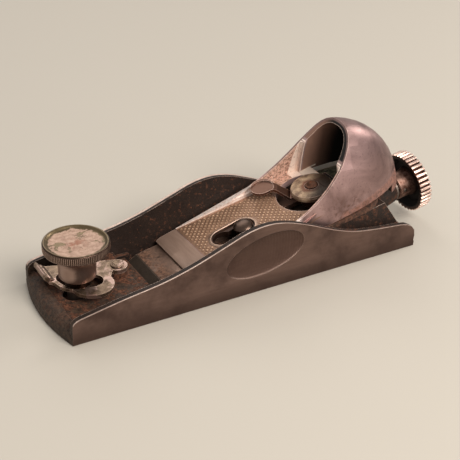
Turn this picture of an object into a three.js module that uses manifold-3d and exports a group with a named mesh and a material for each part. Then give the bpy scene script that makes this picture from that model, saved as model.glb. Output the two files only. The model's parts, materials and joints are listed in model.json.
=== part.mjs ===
// Low-angle block plane with a hooded lever cap, a cam lever, a sliding toe plate and an end-screw feed.
// Millimetres. +X runs from toe to heel, +Z is up, the sole is z = 0 and y = 0 is the middle of the plane.
import * as THREE from "three";
import { mergeVertices } from "three/addons/utils/BufferGeometryUtils.js";
import Module from "manifold-3d";

const wasm = await Module();
wasm.setup();

// ---- Driving dimensions -------------------------------------------------------------------------

const HALF_LENGTH = 85.3; // middle to either end of a cheek
const HALF_WIDTH = 25.9;
const WALL = 2.8; // cheek thickness
const INNER = HALF_WIDTH - WALL;
const TOE_BULGE = 3.8; // how far the toe and the heel bow out beyond the cheeks
const HEEL_BULGE = 3.4;
const SOLE_THICKNESS = 4;
const DECK = 5.8; // top of the front deck, over the toe plate
const DECK_REAR = -46; // where the deck stops and the throat opens
const GAP = 0.3; // clearance between pieces that lie close together

const BED_ANGLE = THREE.MathUtils.degToRad(12);
const MOUTH_X = -40.5; // the cutting edge's place on the sole
const BED_HALF_WIDTH = 20;
const BED_REAR_X = 70; // top rear corner of the bed
const BED_FOOT_X = 83.5; // where the bed's rear face meets the sole plate

const CUTTER_HALF_WIDTH = 20.65;
const CUTTER_THICKNESS = 2.2;
const CUTTER_LENGTH = 116;

const CAP_ANGLE = THREE.MathUtils.degToRad(16.2);
const CAP_HEIGHT = 15; // the cap's top plane crosses x = 0 at this height
const CAP_HALF_WIDTH = 21.7;
const LIP_X = -25.3; // front edge of the cap
const LIP_END_X = -15.4; // rear edge of the polished lip
const PLATE_THICKNESS = 3;

// The hood is straight in front of mid; behind it, it closes in a blunt superelliptical end.
const HOOD = { mid: 45, rear: 89, axisZ: 12.5, top: 60, halfWidth: 20.1, power: 2.45, endPower: 2.35 };
const HOOD_WALL = 2.3;
const HOLLOW = { halfWidth: 15.4, power: 2.7 }; // its sides stand thicker at the floor than at the top
const HOOD_SKIRT = { x: 78.5, z: 23.9 }; // behind the cutter the hood reaches down to this height
const FLOOR = { x: 62, z: 27.8, slope: 0.13 }; // a point on the hollow's floor, and its slope
const HOLLOW_FRONT_X = 46.5; // the hood's thick wall starts here; in front of it are thin wings
const WING_THICKNESS = 1.3;
const RIM_FOOT = [22, 25]; // side view of the hood's rim: one arc from foot to crown
const RIM_CROWN = [55, 59.9];
const RIM_TURN = THREE.MathUtils.degToRad(40.4);
const RIM_RUN_OUT = 12; // in front of its foot the rim runs down straight until it meets the rail

const RIVET_S = 45; // cam rivet's distance along the cap from x = 0
const TONGUE = { s: 44.8, radius: 9.8, low: -0.7, high: 2.3 }; // round boss over the cam lever
const CAM_WINDOW = { s: 41.5, radius: 13.8 }; // the opening in the plate that the cam works in
const CAM_TAB = [26.4, 12.4]; // the thumb tab's middle, along and across the cap
const CAM_TAB_RADIUS = 5.3;
const CAM_ARM = { top: TONGUE.low - 0.2, thickness: 1 };
const CAM_FOOT = { radius: 6.2, low: -6.3 }; // the cam itself, which presses on the cutter
const SCREW_S = 7.4; // cap screw's distance along the cap
const KEYHOLE_S = -3.2; // the keyhole's wide end

const KNOB_X = -72;
const LEVER_PIVOT = [-51.9, 5.4];
const LEVER_Z = 9.2;
const LEVER_THICKNESS = 1.6;
const LEVER_TURN = THREE.MathUtils.degToRad(15);
const TOE_TRAVEL = 1.65; // how far the lever's full swing draws the toe plate forward
const TOE_PLATE = [-80.5, -41.3]; // the plate's front and rear edges with the mouth closed
const POST_RADIUS = 4.5; // the stud's shoulder, which the lever's slot steers

const FEED_W = -10.9; // the feed screw's axis lies this far below the bed
const FEED_RADIUS = 2.5;
const WHEEL_RADIUS = 14.6;
const WHEEL_U = 138.3; // the wheel's front face, along the bed from the cutting edge
const WHEEL_THICKNESS = 6;
const WHEEL_RIDGES = 38;
const BOSS_END = 130.8; // rear end of the boss that the feed screw turns in, along the bed

const TAU = 2 * Math.PI;

// ---- Solids -------------------------------------------------------------------------------------

// A closed three.js geometry as a manifold-3d solid, with its faces turned outwards.
function solid(geometry) {
  const plain = new THREE.BufferGeometry();
  plain.setAttribute("position", geometry.getAttribute("position"));
  plain.setIndex(geometry.index);
  const merged = mergeVertices(plain, 1e-4);
  const corners = [...merged.index.array];
  const triVerts = [];
  for (let i = 0; i < corners.length; i += 3) {
    const [a, b, c] = corners.slice(i, i + 3);
    if (a !== b && b !== c && c !== a) triVerts.push(a, b, c);
  }
  const build = () =>
    new wasm.Manifold(
      new wasm.Mesh({
        numProp: 3,
        vertProperties: merged.attributes.position.array,
        triVerts: new Uint32Array(triVerts),
      }),
    );
  const made = build();
  if (made.volume() > 0) return made;
  for (let i = 0; i < triVerts.length; i += 3) {
    [triVerts[i], triVerts[i + 1]] = [triVerts[i + 1], triVerts[i]];
  }
  return build();
}

const join = (...solids) => solids.reduce((a, b) => a.add(b));
const cut = (base, ...tools) => tools.reduce((a, b) => a.subtract(b), base);

const polygon = (points) => new THREE.Shape(points.map(([x, y]) => new THREE.Vector2(x, y)));

function circle(x, y, radius) {
  const shape = new THREE.Shape();
  shape.absarc(x, y, radius, 0, TAU);
  return shape;
}

// A slot with round ends between two points.
function obround([x0, y0], [x1, y1], radius) {
  const along = Math.atan2(y1 - y0, x1 - x0);
  const shape = new THREE.Shape();
  shape.absarc(x1, y1, radius, along - Math.PI / 2, along + Math.PI / 2);
  shape.absarc(x0, y0, radius, along + Math.PI / 2, along + (3 * Math.PI) / 2);
  return shape;
}

const extrusion = (shape, low, high, segments) =>
  new THREE.ExtrudeGeometry(shape, {
    depth: high - low,
    bevelEnabled: false,
    curveSegments: segments,
  }).translate(0, 0, low);

// A plan outline (x, y) between two heights.
const upright = (shape, low, high, segments = 12) => solid(extrusion(shape, low, high, segments));

// A side outline (x, z) between two sideways places.
const across = (shape, low, high, segments = 12) =>
  solid(extrusion(shape, -high, -low, segments).rotateX(Math.PI / 2));

// Bed and cap frames: first along the slope towards the heel, then sideways, then out of the slope.
const bedFrame = new THREE.Matrix4().makeRotationY(-BED_ANGLE).setPosition(MOUTH_X, 0, 0);
const capFrame = new THREE.Matrix4().makeRotationY(-CAP_ANGLE).setPosition(0, 0, CAP_HEIGHT);
const onBed = (geometry) => solid(geometry.applyMatrix4(bedFrame));
const onCap = (geometry) => solid(geometry.applyMatrix4(capFrame));

// A turned solid about +Z: its profile is a list of [radius, height] from axis to axis.
const turned = (profile, segments = 36) =>
  new THREE.LatheGeometry(
    profile.map(([r, h]) => new THREE.Vector2(r, h)),
    segments,
  ).rotateX(Math.PI / 2);

const rod = (radius, low, high, segments = 24) =>
  turned([[0, low], [radius, low], [radius, high], [0, high]], segments);

// The same about the feed screw's axis, its heights being distances along the bed.
const onFeed = (geometry) => onBed(geometry.rotateY(Math.PI / 2).translate(0, 0, FEED_W));

const slopeZ = (x) => Math.tan(BED_ANGLE) * (x - MOUTH_X);
const cutterTopZ = (x) => slopeZ(x) + CUTTER_THICKNESS / Math.cos(BED_ANGLE);
const capTopZ = (x) => CAP_HEIGHT + Math.tan(CAP_ANGLE) * x;

const finish = (color, roughness, metalness = 1) =>
  new THREE.MeshStandardMaterial({ color, roughness, metalness });
const castIron = finish(0x5a4a44, 0.6, 0.6);
const wornNickel = finish(0xb59f97, 0.35);
const steel = finish(0x8b8178, 0.45);
const greenedNickel = finish(0x8f8669, 0.45);

function piece(name, shape, material) {
  const mesh = shape.getMesh();
  const geometry = new THREE.BufferGeometry();
  geometry.setAttribute("position", new THREE.BufferAttribute(mesh.vertProperties, mesh.numProp));
  geometry.setIndex(new THREE.BufferAttribute(mesh.triVerts, 1));
  const made = new THREE.Mesh(geometry, material);
  made.name = name;
  return made;
}

// ---- Body casting -------------------------------------------------------------------------------

// Side view of a cheek: a low front, a hump over the middle and a low heel with a rounded end.
function cheekOutline() {
  const hump = [
    [-64, 14.6], [-46, 17.4], [-32, 21], [-18, 26], [-6, 30.3], [4, 31.6],
    [14, 30], [26, 25.6], [38, 20.4], [50, 16.4], [64, 14.2],
  ];
  const shape = new THREE.Shape();
  shape.moveTo(-HALF_LENGTH, 0);
  shape.lineTo(-HALF_LENGTH, 7.6);
  shape.quadraticCurveTo(-HALF_LENGTH, 10.6, -81.5, 11.3);
  shape.splineThru(hump.map(([x, z]) => new THREE.Vector2(x, z)));
  shape.lineTo(76, 13);
  shape.quadraticCurveTo(HALF_LENGTH, 12, HALF_LENGTH, 5.5);
  shape.quadraticCurveTo(HALF_LENGTH, 0.6, HALF_LENGTH - 4, 0);
  return shape;
}

// Plan of the sole, shrunk by inset: straight sides between two shallow arcs.
function soleOutline(inset) {
  const side = HALF_WIDTH - inset;
  const arcs = [
    [1, HEEL_BULGE],
    [-1, TOE_BULGE],
  ];
  const shape = new THREE.Shape();
  for (const [end, bulge] of arcs) {
    const radius = (HALF_WIDTH ** 2 + bulge ** 2) / (2 * bulge);
    const centre = end * (HALF_LENGTH + bulge - radius);
    const half = Math.asin(side / (radius - inset));
    const middle = end > 0 ? 0 : Math.PI;
    shape.absarc(centre, 0, radius - inset, middle - half, middle + half);
  }
  return shape;
}

// The sole's outline with its upper edge rounded over, up to the given height.
function roundedSlab(height, round) {
  const slab = new THREE.ExtrudeGeometry(soleOutline(round), {
    depth: 2 * (height - round),
    bevelSize: round,
    bevelThickness: round,
    bevelSegments: 3,
    curveSegments: 10,
  }).translate(0, 0, round - height);
  const below = upright(polygon([[-120, -60], [120, -60], [120, 60], [-120, 60]]), -2 * height, 0);
  return cut(solid(slab), below);
}

function fingerHollow(side) {
  const hollow = new THREE.SphereGeometry(1, 32, 18)
    .rotateX(Math.PI / 2)
    .scale(19.5, 1.6, 9.5)
    .rotateY(-THREE.MathUtils.degToRad(9))
    .translate(3, side * HALF_WIDTH, 17.5);
  return solid(hollow);
}

function bodyCasting() {
  const cheeks = [
    across(cheekOutline(), INNER, HALF_WIDTH, 4),
    across(cheekOutline(), -HALF_WIDTH, -INNER, 4),
  ];
  const box = (x0, x1, halfWidth, z0, z1) =>
    across(polygon([[x0, z0], [x1, z0], [x1, z1], [x0, z1]]), -halfWidth, halfWidth);
  const slab = cut(
    roundedSlab(7, 5),
    box(-82.4, DECK_REAR, INNER, DECK, 9),
    box(DECK_REAR, 60, INNER, SOLE_THICKNESS, 9),
    box(60, 100, 40, SOLE_THICKNESS + 0.6, 9),
  );
  const lipX = MOUTH_X + 1.6;
  const bedTop = (x) => slopeZ(x) - 0.1;
  const bed = across(
    polygon([
      [lipX, 0], [BED_FOOT_X, 0], [BED_FOOT_X, 5], [BED_REAR_X, bedTop(BED_REAR_X)],
      [lipX, bedTop(lipX)],
    ]),
    -BED_HALF_WIDTH,
    BED_HALF_WIDTH,
  );
  const aboveBed = across(
    polygon([[lipX, bedTop(lipX)], [0, bedTop(0)], [0, 20], [lipX, 20]]),
    -INNER,
    INNER,
  );
  const bossProfile = [[0, 110], [7.6, 110], [7.6, 120], [6.4, 130], [5.9, BOSS_END], [0, BOSS_END]];
  const feedBoss = onFeed(turned(bossProfile, 40));
  const rivetBoss = upright(circle(...LEVER_PIVOT, 4.4), DECK - 1, LEVER_Z - 0.2, 16);

  const toeWindow = box(TOE_PLATE[0] - TOE_TRAVEL - GAP, DECK_REAR, 21.2, -1, 3.4);
  const mouth = box(DECK_REAR - 1, lipX, 21.2, -1, 12);
  const studSlot = upright(obround([KNOB_X - TOE_TRAVEL - GAP, 0], [KNOB_X + GAP, 0], 4.8), 0, 9);
  const channel = onBed(
    extrusion(polygon([[89.8, -7.6], [116, -7.6], [116, 7.6], [89.8, 7.6]]), FEED_W - 4, 3),
  );
  const pocket = polygon([
    [16, SOLE_THICKNESS + 0.6], [90, SOLE_THICKNESS + 0.6], [90, slopeZ(90) - 4.2],
    [16, slopeZ(16) - 4.2],
  ]);
  return cut(
    join(slab, bed, ...cheeks, feedBoss, rivetBoss),
    aboveBed,
    toeWindow,
    mouth,
    studSlot,
    channel,
    across(pocket, 10.5, 17.5),
    across(pocket, -17.5, -10.5),
    onFeed(rod(FEED_RADIUS + GAP, 112, BOSS_END + 1)),
    onBed(rod(1.1, FEED_W, 0, 16).translate(122.5, 0, 0)),
    onCap(rod(2.7, -12.5, 0, 24).translate(SCREW_S, 0, 0)),
    upright(circle(...LEVER_PIVOT, 2.1), SOLE_THICKNESS, 10),
    fingerHollow(1),
    fingerHollow(-1),
  );
}

// ---- Toe plate, stud, knob and throat lever -----------------------------------------------------

const toePlate = () =>
  cut(
    upright(
      polygon([
        [TOE_PLATE[0], -20.9], [TOE_PLATE[1], -20.9], [TOE_PLATE[1], 20.9], [TOE_PLATE[0], 20.9],
      ]),
      0,
      3.1,
    ),
    upright(circle(KNOB_X, 0, 3), 0.5, 4),
  );

const toeStud = () =>
  solid(
    turned([
      [0, 0.7], [2.8, 0.7], [2.8, 3.2], [POST_RADIUS, 3.2], [POST_RADIUS, 10.9], [3, 10.9],
      [3, 25.6], [2.4, 26.2], [0, 26.2],
    ]).translate(KNOB_X, 0, 0),
  );

const frontKnob = () =>
  solid(
    turned(
      [
        [0, 27], [3.3, 27], [3.3, 11.1], [5.6, 11.1], [5.6, 14.2], [7.4, 14.6], [7.8, 15.3], [8, 21.5],
        [8.9, 24.6], [11.5, 26.4], [13.2, 26.9], [13.8, 27.4], [13.8, 30.4], [13.5, 30.9], [13, 31],
        [12.5, 30.8], [11.7, 30], [9, 29.6], [0, 29.4],
      ],
      48,
    ).translate(KNOB_X, 0, 0),
  );

// Where the post sits in the lever's own frame once the lever has turned by an angle.
function postInLever(angle) {
  const travel = (-TOE_TRAVEL * angle) / LEVER_TURN;
  return new THREE.Vector2(KNOB_X + travel, 0).rotateAround(new THREE.Vector2(...LEVER_PIVOT), -angle);
}

function throatLever() {
  const plate = (shape) => upright(shape, LEVER_Z, LEVER_Z + LEVER_THICKNESS, 16);
  const outline = join(
    plate(circle(-66.8, -3.3, 8.9)),
    plate(circle(-71.4, 4.4, 8.9)),
    plate(polygon([[-66, -4], [-58.4, -2.2], [-55.6, 2], [-50.6, 9.6], [-66, 14.4], [-74, 12]])),
    plate(circle(...LEVER_PIVOT, 4.4)),
    plate(polygon([[-74.6, -7], [-68, 14], [-80, 18.4], [-82.4, 18], [-82, 6.4], [-77.6, 1.4]])),
  );
  const steps = 8;
  const slot = [];
  for (let i = 0; i < steps; i++) {
    const from = postInLever((LEVER_TURN * i) / steps);
    const to = postInLever((LEVER_TURN * (i + 1)) / steps);
    slot.push(upright(obround(from.toArray(), to.toArray(), POST_RADIUS + GAP), 5, 15, 16));
  }
  const opening = upright(obround([KNOB_X, 0], [-66, -1.1], 4.6), 5, 15, 16);
  // The lever's free end curls up into a thumb tab with two ridges across it.
  const curlSide = polygon([
    [-79.6, 9.2], [-79.6, 10.8], [-81.2, 11.5], [-82.6, 13.2], [-84, 13.2], [-84, 11.8], [-82.2, 9.9],
    [-81, 9.2],
  ]);
  const curl = across(curlSide, 6.4, 18.6);
  const ridge = (x, z) => solid(new THREE.CapsuleGeometry(0.7, 11, 4, 12).translate(x, 12.6, z));
  return join(
    cut(outline, opening, upright(circle(...LEVER_PIVOT, 2.2), 5, 15), ...slot),
    curl,
    ridge(-83.4, 13.2),
    ridge(-81.3, 11.4),
  );
}

const throatLeverRivet = () => {
  const seat = LEVER_Z + LEVER_THICKNESS + 0.15;
  return solid(
    turned(
      [
        [0, 4.2], [1.9, 4.2], [1.9, seat], [2.9, seat], [2.9, seat + 0.4], [2.5, seat + 0.65],
        [2, seat + 0.4], [1.6, seat + 0.4], [1.2, seat + 0.75], [0, seat + 0.6],
      ],
      36,
    ).translate(...LEVER_PIVOT, 0),
  );
};

// ---- Cutter and its feed ------------------------------------------------------------------------

const CUTTER_START = 0.5; // the edge stands this far back up the bed, so it stays inside the sole

function cutter() {
  const length = CUTTER_LENGTH;
  const bevel = 5.2;
  const side = polygon([
    [CUTTER_START, 0], [length, 0], [length, CUTTER_THICKNESS], [bevel, CUTTER_THICKNESS],
    [CUTTER_START, 0.12],
  ]);
  const blank = new THREE.ExtrudeGeometry(side, { depth: 2 * CUTTER_HALF_WIDTH, bevelEnabled: false })
    .rotateX(Math.PI / 2)
    .translate(0, CUTTER_HALF_WIDTH, 0);
  const round = 14;
  const plan = new THREE.Shape();
  plan.moveTo(-1, -30);
  plan.lineTo(-1, 30);
  plan.lineTo(length - round, 30);
  plan.lineTo(length - round, CUTTER_HALF_WIDTH);
  plan.quadraticCurveTo(length, CUTTER_HALF_WIDTH, length, 0);
  plan.quadraticCurveTo(length, -CUTTER_HALF_WIDTH, length - round, -CUTTER_HALF_WIDTH);
  plan.lineTo(length - round, -30);
  const notch = polygon([[98, -4.6], [102, -4.6], [102, 4.6], [98, 4.6]]);
  return cut(
    onBed(blank).intersect(onBed(extrusion(plan, -1, 5, 16))),
    onBed(extrusion(obround([38, 0], [82, 0], 5.6), -1, 5, 16)),
    onBed(extrusion(notch, -1, 1.6)),
  );
}

const feedSlide = () =>
  cut(
    onBed(extrusion(polygon([[93, -7.3], [109, -7.3], [109, 7.3], [93, 7.3]]), FEED_W - 3.7, -0.5)),
    onFeed(rod(FEED_RADIUS + GAP, 90, 112)),
    onBed(extrusion(circle(100, 0, 1.8), -4, 2)),
  );

const feedDog = () =>
  join(
    onBed(rod(1.5, -3.6, 0, 20).translate(100, 0, 0)),
    onBed(extrusion(polygon([[98.7, -4], [101.3, -4], [101.3, 4], [98.7, 4]]), -0.3, 1.3)),
  );

const WHEEL_PIN_U = 135.4;
const crossHole = (radius, reach) =>
  onBed(
    rod(radius, -reach, reach, 16)
      .rotateX(Math.PI / 2)
      .translate(WHEEL_PIN_U, 0, FEED_W),
  );

function depthScrew() {
  const end = WHEEL_U + WHEEL_THICKNESS + 1.6;
  const thread = [[0, 90.4], [1.9, 90.4], [FEED_RADIUS, 91]];
  const groove = [[FEED_RADIUS, 121.3], [1.8, 121.3], [1.8, 123.7], [FEED_RADIUS, 123.7]];
  const tail = [[FEED_RADIUS, end - 0.8], [1.7, end], [0, end]];
  return cut(onFeed(turned([...thread, ...groove, ...tail], 32)), crossHole(1.1, 4));
}

const screwRetainingPin = () => onBed(rod(0.9, FEED_W + 2.1, FEED_W + 7.2, 16).translate(122.5, 0, 0));

const thrustWasher = () =>
  onFeed(
    turned([
      [FEED_RADIUS + GAP, BOSS_END + 0.3], [5.6, BOSS_END + 0.3], [5.6, BOSS_END + 1.3],
      [FEED_RADIUS + GAP, BOSS_END + 1.3], [FEED_RADIUS + GAP, BOSS_END + 0.3],
    ], 40),
  );

// The wheel's rim is a ring of straight ridges; its front is dished and its hub is a long neck.
function depthWheel() {
  const corners = [
    [0.08, WHEEL_RADIUS - 0.9], [0.3, WHEEL_RADIUS], [0.7, WHEEL_RADIUS], [0.92, WHEEL_RADIUS - 0.9],
  ];
  const points = [];
  for (let i = 0; i < WHEEL_RIDGES; i++) {
    for (const [part, radius] of corners) {
      const angle = ((i + part) / WHEEL_RIDGES) * TAU;
      points.push([radius * Math.cos(angle), radius * Math.sin(angle)]);
    }
  }
  const rear = WHEEL_U + WHEEL_THICKNESS;
  const dish = turned([
    [0, WHEEL_U - 1], [12.7, WHEEL_U - 1], [12.4, WHEEL_U + 1], [10.4, WHEEL_U + 3.6], [0, WHEEL_U + 3.6],
  ]);
  const backDish = turned([
    [0, rear - 1], [7.5, rear - 1], [11.2, rear], [11.2, rear + 2], [0, rear + 2],
  ]);
  const hub = turned([
    [0, BOSS_END + 1.6], [5.6, BOSS_END + 1.6], [6.2, BOSS_END + 2.2], [6.4, WHEEL_U + 0.4],
    [7.4, WHEEL_U + 3.8], [7.4, rear - 0.6], [0, rear - 0.6],
  ]);
  const ridged = onFeed(extrusion(polygon(points), WHEEL_U, rear));
  return cut(
    join(cut(ridged, onFeed(dish), onFeed(backDish)), onFeed(hub)),
    onFeed(rod(FEED_RADIUS + GAP, 120, 150)),
    crossHole(1.1, 7.8),
  );
}

const wheelPin = () => crossHole(0.85, 6);

// ---- Lever cap ----------------------------------------------------------------------------------

// The hood's solid form: superelliptical sections along X that close to a blunt rear end.
function hoodForm({ mid, rear, axisZ, top, halfWidth, power, endPower }, front) {
  const steps = 14;
  const profile = [[0, front], [1, front], [1, mid]];
  for (let i = 1; i <= steps; i++) {
    const turn = (i / steps) * (Math.PI / 2);
    const radius = Math.cos(turn) ** (2 / endPower);
    profile.push([i < steps ? radius : 0, mid + (rear - mid) * Math.sin(turn) ** (2 / endPower)]);
  }
  const form = turned(profile, 48);
  const at = form.getAttribute("position");
  for (let i = 0; i < at.count; i++) {
    const [a, b, along] = [at.getX(i), at.getY(i), at.getZ(i)];
    const radius = Math.hypot(a, b);
    const sum = Math.abs(a) ** power + Math.abs(b) ** power;
    const stretch = sum > 1e-9 ? radius / sum ** (1 / power) : 0;
    at.setXYZ(i, along, a * stretch * halfWidth, axisZ + b * stretch * (top - axisZ));
  }
  return solid(form);
}

// Everything in front of and above the hood's rim.
function aheadOfRim() {
  const foot = new THREE.Vector2(...RIM_FOOT);
  const crown = new THREE.Vector2(...RIM_CROWN);
  const chord = crown.clone().sub(foot);
  const radius = chord.length() / (2 * Math.sin(RIM_TURN / 2));
  const start = chord.angle() - RIM_TURN / 2;
  const inward = new THREE.Vector2(-Math.sin(start), Math.cos(start));
  const centre = foot.clone().add(inward.multiplyScalar(radius));
  const shape = new THREE.Shape();
  const rise = RIM_RUN_OUT * Math.tan(start);
  shape.moveTo(-60, foot.y - rise);
  shape.lineTo(foot.x - RIM_RUN_OUT, foot.y - rise);
  shape.absarc(centre.x, centre.y, radius, start - Math.PI / 2, start - Math.PI / 2 + RIM_TURN);
  const end = start + RIM_TURN;
  shape.lineTo(crown.x + 20 * Math.cos(end), crown.y + 20 * Math.sin(end));
  shape.lineTo(-60, 90);
  return across(shape, -40, 40, 24);
}

// The slope's underside, clear of the cutter, and the floor of the hood's hollow.
const capUnder = (x) => cutterTopZ(x) + GAP;
const floorZ = (x) => FLOOR.z + FLOOR.slope * (x - FLOOR.x);
const FLOOR_FRONT_X = 52; // in front of this the hollow opens down to the plate

const insetHood = (wall) => ({
  ...HOOD,
  rear: HOOD.rear - wall,
  top: HOOD.top - wall,
  halfWidth: HOOD.halfWidth - wall,
});

// The sloping plate, with its polished lip rounded down at the front.
function capPlate() {
  const side = polygon([
    [LIP_X + 0.2, capUnder(LIP_X)], [50, capUnder(50)], [50, capTopZ(50)], [LIP_END_X, capTopZ(LIP_END_X)],
    [LIP_END_X - 3, capTopZ(LIP_END_X - 3) + 0.1], [LIP_X + 1.4, capTopZ(LIP_X + 1.4) - 0.1],
    [LIP_X, capTopZ(LIP_X) - 0.9],
  ]);
  const plan = polygon([
    [LIP_X - 1, -CAP_HALF_WIDTH], [24, -CAP_HALF_WIDTH], [34, -19.2], [60, -19.2], [60, 19.2],
    [34, 19.2], [24, CAP_HALF_WIDTH], [LIP_X - 1, CAP_HALF_WIDTH],
  ]);
  return across(side, -30, 30).intersect(upright(plan, 0, 60));
}

// A rail along one edge of the plate: a wedge that widens and rises into the hood's wing.
function capRail(s) {
  const side = polygon([
    [LIP_END_X, capTopZ(LIP_END_X) - 1], [34, capTopZ(34) - 1], [34, capTopZ(34) + 3],
    [22, capTopZ(22) + 1.8], [LIP_END_X, capTopZ(LIP_END_X) + 0.3],
  ]);
  const plan = polygon([
    [LIP_END_X, s * (CAP_HALF_WIDTH - 0.5)], [LIP_END_X, s * CAP_HALF_WIDTH],
    [24, s * CAP_HALF_WIDTH], [34, s * 19.2], [34, s * 17.5], [22, s * 17],
  ]);
  return across(side, -30, 30).intersect(upright(plan, 0, 60));
}

function hood() {
  const under = across(
    polygon([[-60, -60], [120, -60], [120, HOOD_SKIRT.z], [HOOD_SKIRT.x, HOOD_SKIRT.z],
      [HOOD_SKIRT.x, capUnder(HOOD_SKIRT.x)], [-60, capUnder(-60)]]),
    -40,
    40,
  );
  const aboveFloor = across(
    polygon([
      [-60, capTopZ(-60)], [FLOOR_FRONT_X, capTopZ(FLOOR_FRONT_X)],
      [FLOOR_FRONT_X, floorZ(FLOOR_FRONT_X)], [120, floorZ(120)], [120, 140], [-60, 140],
    ]),
    -40,
    40,
  );
  const hollow = hoodForm({ ...insetHood(HOOD_WALL), ...HOLLOW }, 30);
  const betweenWings = hoodForm(
    { ...insetHood(WING_THICKNESS), mid: HOLLOW_FRONT_X - 1, rear: HOLLOW_FRONT_X },
    0,
  );
  return cut(
    hoodForm(HOOD, RIM_FOOT[0] - RIM_RUN_OUT),
    under,
    aheadOfRim(),
    hollow.intersect(aboveFloor),
    betweenWings.intersect(aboveFloor),
  );
}

// A round boss with a rounded edge and a faintly dished top, held at its rear by a short root.
function tongue() {
  const { s, radius, low, high } = TONGUE;
  const disc = turned([
    [0, low], [radius - 0.3, low], [radius, low + 0.5], [radius, high - 1.3], [radius - 0.5, high - 0.4],
    [radius - 1.6, high], [5, high - 0.3], [0, high - 0.3],
  ], 48).translate(s, 0, 0);
  const [front, rear] = [s + radius - 2, CAM_WINDOW.s + CAM_WINDOW.radius + 0.7];
  const root = polygon([[front, -5], [rear, -5], [rear, 5], [front, 5]]);
  return join(onCap(disc), onCap(extrusion(root, -5.5, low + 1.5)));
}

function leverCap() {
  const hollowUnder = across(
    polygon([[LIP_X + 7, 0], [50, 0], [50, capTopZ(50) - PLATE_THICKNESS],
      [LIP_X + 12, capTopZ(LIP_X + 12) - PLATE_THICKNESS]]),
    -17.6,
    17.6,
  );
  const keyhole = [
    extrusion(obround([KEYHOLE_S, 0], [SCREW_S, 0], 5.3), -0.7, 5, 16),
    extrusion(circle(KEYHOLE_S, 0, 4.9), -9, 5, 16),
    extrusion(obround([KEYHOLE_S, 0], [SCREW_S, 0], 2.8), -9, 5, 16),
  ];
  const camWindow = extrusion(circle(CAM_WINDOW.s, 0, CAM_WINDOW.radius), -9, 1, 24);
  const shell = cut(
    join(capPlate(), capRail(1), capRail(-1), hood()),
    hollowUnder,
    onCap(camWindow),
    ...keyhole.map(onCap),
  );
  const { low, high } = TONGUE;
  const rivetHole = turned([
    [0, low - 1], [2.3, low - 1], [2.3, high - 1.1], [3.3, high - 0.4], [3.3, high + 1], [0, high + 1],
  ], 28);
  return cut(join(shell, tongue()), onCap(rivetHole.translate(RIVET_S, 0, 0)));
}

// The lever's arm lies under the tongue; its neck climbs over the plate to a dished thumb tab.
function camLever() {
  const [tabS, tabY] = CAM_TAB;
  const swing = Math.atan2(tabY, RIVET_S - tabS);
  const neck = polygon([
    [22.6, 9], [27.2, 7.6], [30.4, 5.2], [35.2, 2], [40, -3], [48, 3], [38, 7.4], [33.8, 8.8],
    [31, 11.2], [30.8, 14.4],
  ]);
  // Side view of the lever, outwards from its rivet: the arm, the climb over the plate, the tab.
  const armLow = CAM_ARM.top - CAM_ARM.thickness;
  const bend = polygon([
    [-10, armLow], [-10, CAM_ARM.top], [10.2, CAM_ARM.top], [15.4, 4.6], [17.4, 5.7], [30, 5.7],
    [30, 3.9], [17, 3.9], [16, 3.3], [11, armLow],
  ]);
  const strip = new THREE.ExtrudeGeometry(bend, { depth: 24, bevelEnabled: false })
    .rotateX(Math.PI / 2)
    .translate(0, 12, 0)
    .rotateZ(Math.PI - swing)
    .translate(RIVET_S, 0, 0);
  const outline = join(
    onCap(extrusion(circle(tabS, tabY, CAM_TAB_RADIUS), -3, 8, 16)),
    onCap(extrusion(neck, -3, 8)),
  );
  const dish = onCap(extrusion(circle(tabS - 0.8, tabY - 1.4, CAM_TAB_RADIUS + 0.1), 5.1, 9, 16));
  const hub = onCap(rod(6.9, armLow, CAM_ARM.top, 36).translate(RIVET_S, 0, 0));
  const foot = onCap(rod(CAM_FOOT.radius, CAM_FOOT.low, armLow + 0.2, 36).translate(RIVET_S, 0, 0));
  return cut(
    join(cut(outline.intersect(onCap(strip)), dish), hub, foot),
    onCap(rod(2.3, -9, 9).translate(RIVET_S, 0, 0)),
  );
}

// The rivet's countersunk head, with a ring hammered into it, fills the seat in the tongue.
function camRivet() {
  const top = TONGUE.high;
  const profile = [
    [0, -6], [2, -6], [2, top - 1.2], [3, top - 0.3], [2.9, top + 0.2], [2.2, top + 0.5],
    [1.5, top + 0.2], [0, top + 0.1],
  ];
  return onCap(turned(profile, 28).translate(RIVET_S, 0, 0));
}

const capScrew = () =>
  onCap(
    turned(
      [[0, -12], [2.4, -12], [2.4, -0.5], [4.5, -0.5], [4.5, 0.7], [4, 1.4], [2.6, 2], [0, 2.2]],
      36,
    ).translate(SCREW_S, 0, 0),
  );

// ---- Assembly -----------------------------------------------------------------------------------

const plane = new THREE.Group();
plane.add(
  piece("body_casting", bodyCasting(), castIron),
  piece("toe_plate", toePlate(), castIron),
  piece("toe_stud", toeStud(), steel),
  piece("front_knob", frontKnob(), greenedNickel),
  piece("throat_lever", throatLever(), greenedNickel),
  piece("throat_lever_rivet", throatLeverRivet(), greenedNickel),
  piece("cutter", cutter(), steel),
  piece("feed_slide", feedSlide(), castIron),
  piece("feed_dog", feedDog(), steel),
  piece("depth_screw", depthScrew(), steel),
  piece("screw_retaining_pin", screwRetainingPin(), steel),
  piece("thrust_washer", thrustWasher(), steel),
  piece("depth_wheel", depthWheel(), wornNickel),
  piece("wheel_pin", wheelPin(), steel),
  piece("lever_cap", leverCap(), wornNickel),
  piece("cam_lever", camLever(), wornNickel),
  piece("cam_rivet", camRivet(), steel),
  piece("cap_screw", capScrew(), steel),
);

export default plane;
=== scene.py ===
"""A worn low-angle block plane on a pale studio floor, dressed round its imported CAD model."""
import json
import math
import random

import bmesh
import bpy
from mathutils import Matrix, Vector


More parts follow.
